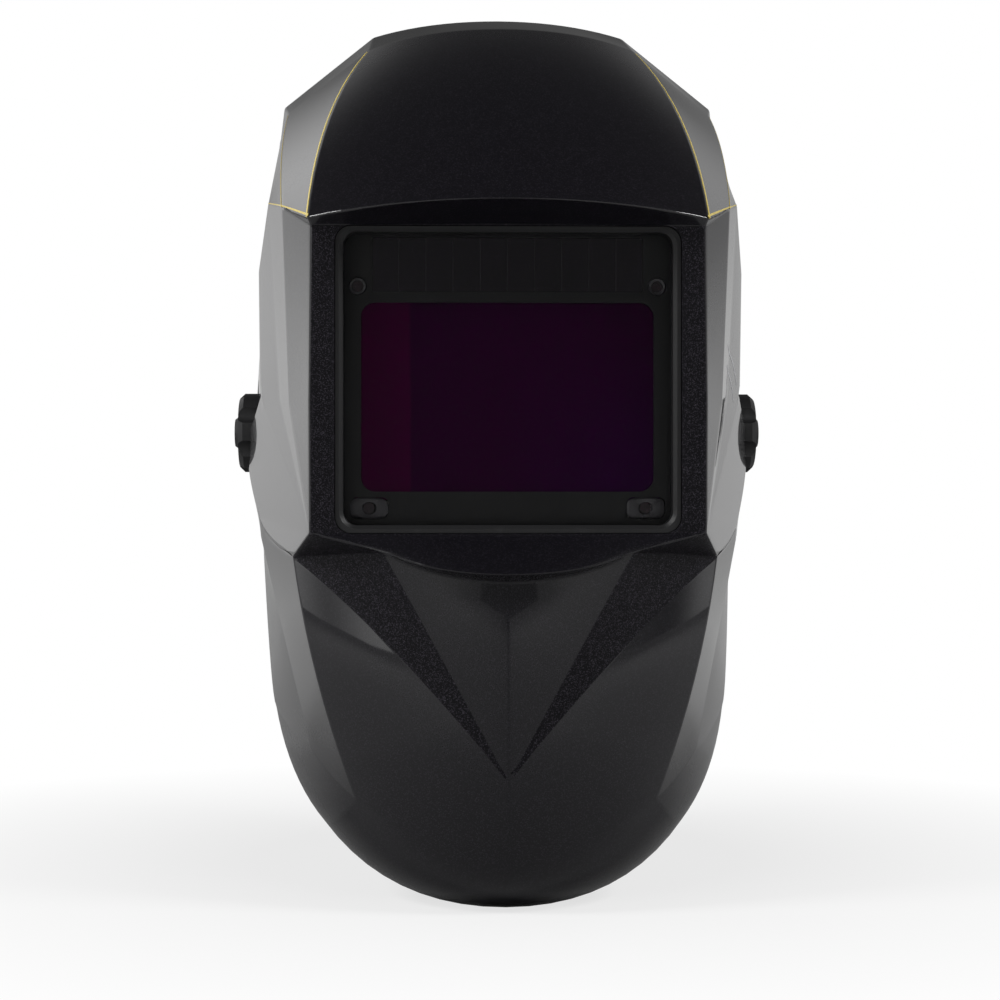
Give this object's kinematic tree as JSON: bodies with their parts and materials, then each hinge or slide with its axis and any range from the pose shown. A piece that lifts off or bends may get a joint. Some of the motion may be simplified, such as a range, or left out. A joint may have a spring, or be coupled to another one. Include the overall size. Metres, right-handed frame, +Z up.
{
  "type": "welding helmet",
  "caption": "Auto-darkening welding helmet: faceted hood with a filter cartridge, tilting on geared side knobs over a ratchet headband.",
  "frame": {"origin": "midpoint of the tilt axis between the two pivot bolts, where the wearer's head carries the helmet", "axes": "+Z up, -Y is the way the visor faces, +X is the wearer's left"},
  "size_m": [0.2136, 0.299, 0.3406],
  "materials": {
    "shell": "black moulded nylon under clear coat with fine metallic flake",
    "black_nylon": "matte black nylon",
    "cartridge": "fine textured charcoal plastic",
    "clear_lens": "clear polycarbonate",
    "filter_glass": "dark magenta coated filter glass",
    "seal_rubber": "soft black rubber",
    "solar_cell": "dark purple solar film",
    "circuit": "black solder mask",
    "sensor_eye": "dark lens of a photodiode",
    "cell_steel": "bright plated steel",
    "dial": "black plastic",
    "bush": "white acetal",
    "bolt_steel": "zinc plated steel",
    "knob": "matte black plastic",
    "band": "flexible black polyethylene",
    "sweatband_foam": "brushed cotton over foam"
  },
  "bodies": {
    "headgear": {"headband": "band", "sweatband": "sweatband_foam", "side_arm_left": "black_nylon", "side_arm_right": "black_nylon", "arm_rivets": "bolt_steel", "crown_strap_left": "band", "crown_strap_right": "band", "crown_pegs": "band", "crown_pad": "sweatband_foam", "band_keeper_left": "band", "band_keeper_right": "band"},
    "carriage": {"carriage_plate_left": "black_nylon", "carriage_plate_right": "black_nylon", "pivot_bolt_left": "bolt_steel", "pivot_bolt_right": "bolt_steel", "tilt_disc_left": "black_nylon", "tilt_disc_right": "black_nylon", "wave_washer_left": "bolt_steel", "wave_washer_right": "bolt_steel", "cap_washer_left": "bolt_steel", "cap_washer_right": "bolt_steel"},
    "visor": {"helmet_shell": "shell", "tilt_stop_pegs": "bush", "pivot_bush_left": "bush", "pivot_bush_right": "bush", "adf_holder": "black_nylon", "cover_lens": "clear_lens", "lens_gasket": "seal_rubber", "adf_front_case": "cartridge", "adf_rear_case": "cartridge", "retainer_frame": "black_nylon", "uv_ir_filter": "filter_glass", "lcd_cell_front": "filter_glass", "lcd_cell_rear": "filter_glass", "rear_glass": "filter_glass", "glass_seal": "seal_rubber", "inner_cover_plate": "clear_lens", "circuit_board": "circuit", "solar_panel": "solar_cell", "arc_sensors": "sensor_eye", "coin_cells": "cell_steel"},
    "knob_left": {"pivot_knob_left": "knob"},
    "knob_right": {"pivot_knob_right": "knob"},
    "body_latch_left": {"latch_left": "black_nylon"},
    "body_latch_right": {"latch_right": "black_nylon"},
    "cap_left": {"battery_cap_left": "black_nylon"},
    "cap_right": {"battery_cap_right": "black_nylon"},
    "shade": {"shade_dial": "dial"},
    "sensitivity": {"sensitivity_dial": "dial"},
    "delay": {"delay_dial": "dial"},
    "switch": {"mode_switch": "dial"},
    "button": {"test_button": "dial"},
    "rear_unit": {"rear_band": "band", "rear_pad": "sweatband_foam", "ratchet_housing": "black_nylon"},
    "ratchet": {"ratchet_knob": "knob", "ratchet_pinion": "knob"},
    "body_rack_left": {"rack_left": "band"},
    "body_rack_right": {"rack_right": "band"}
  },
  "joints": [
    {"name": "fore_aft", "type": "slide", "parent": "headgear", "child": "carriage", "axis": [0, 1, 0], "range_m": [-0.01, 0.01]},
    {"name": "visor_tilt", "type": "hinge", "parent": "carriage", "child": "visor", "pos_m": [0, 0, 0], "axis": [-1, 0, 0], "range_deg": [0, 75]},
    {"name": "knob_left_turn", "type": "hinge", "parent": "carriage", "child": "knob_left", "pos_m": [0.1, 0, 0], "axis": [1, 0, 0], "range_deg": [0, 180]},
    {"name": "knob_right_turn", "type": "hinge", "parent": "carriage", "child": "knob_right", "pos_m": [-0.1, 0, 0], "axis": [-1, 0, 0], "range_deg": [0, 180]},
    {"name": "latch_left_slide", "type": "slide", "parent": "visor", "child": "body_latch_left", "axis": [-1, 0, 0], "range_m": [0, 0.003], "stiffness_N_per_m": 200},
    {"name": "latch_right_slide", "type": "slide", "parent": "visor", "child": "body_latch_right", "axis": [1, 0, 0], "range_m": [0, 0.003], "stiffness_N_per_m": 200},
    {"name": "cap_left_turn", "type": "hinge", "parent": "visor", "child": "cap_left", "pos_m": [0.042, -0.128, 0.059], "axis": [0, 1, 0], "range_deg": [0, 30]},
    {"name": "cap_right_turn", "type": "hinge", "parent": "visor", "child": "cap_right", "pos_m": [-0.042, -0.128, 0.059], "axis": [0, 1, 0], "range_deg": [0, 30]},
    {"name": "shade_turn", "type": "hinge", "parent": "visor", "child": "shade", "pos_m": [0, -0.128, 0.059], "axis": [0, 1, 0], "range_deg": [-135, 135]},
    {"name": "sensitivity_turn", "type": "hinge", "parent": "visor", "child": "sensitivity", "pos_m": [-0.022, -0.128, -0.0307], "axis": [0, 1, 0], "range_deg": [-135, 135]},
    {"name": "delay_turn", "type": "hinge", "parent": "visor", "child": "delay", "pos_m": [0.022, -0.128, -0.0307], "axis": [0, 1, 0], "range_deg": [-135, 135]},
    {"name": "mode_slide", "type": "slide", "parent": "visor", "child": "switch", "axis": [1, 0, 0], "range_m": [-0.002, 0.002]},
    {"name": "button_press", "type": "slide", "parent": "visor", "child": "button", "axis": [0, -1, 0], "range_m": [0, 0.0008], "stiffness_N_per_m": 800},
    {"name": "rear_slide", "type": "slide", "parent": "headgear", "child": "rear_unit", "axis": [0, 0.9816, -0.1908], "range_m": [-0.008, 0.008]},
    {"name": "ratchet_turn", "type": "hinge", "parent": "rear_unit", "child": "ratchet", "pos_m": [0, 0.1209, 0.01929], "axis": [0, 0.9816, -0.1908], "range_deg": [-90, 90]},
    {"name": "rack_left_pull", "type": "hinge", "parent": "rear_unit", "child": "body_rack_left", "pos_m": [0, 0.03746, 0.0355], "axis": [0, 0.1908, 0.9816], "range_deg": [-6.2, 6.2]},
    {"name": "rack_right_pull", "type": "hinge", "parent": "rear_unit", "child": "body_rack_right", "pos_m": [0, 0.03746, 0.0355], "axis": [0, 0.1908, 0.9816], "range_deg": [-6.2, 6.2]}
  ],
  "couplings": [
    {"joint": "ratchet_turn", "follows": "rear_slide", "rad_per_m": -196.08},
    {"joint": "rack_left_pull", "follows": "rear_slide", "rad_per_m": -12.788},
    {"joint": "rack_right_pull", "follows": "rear_slide", "rad_per_m": 12.788}
  ]
}
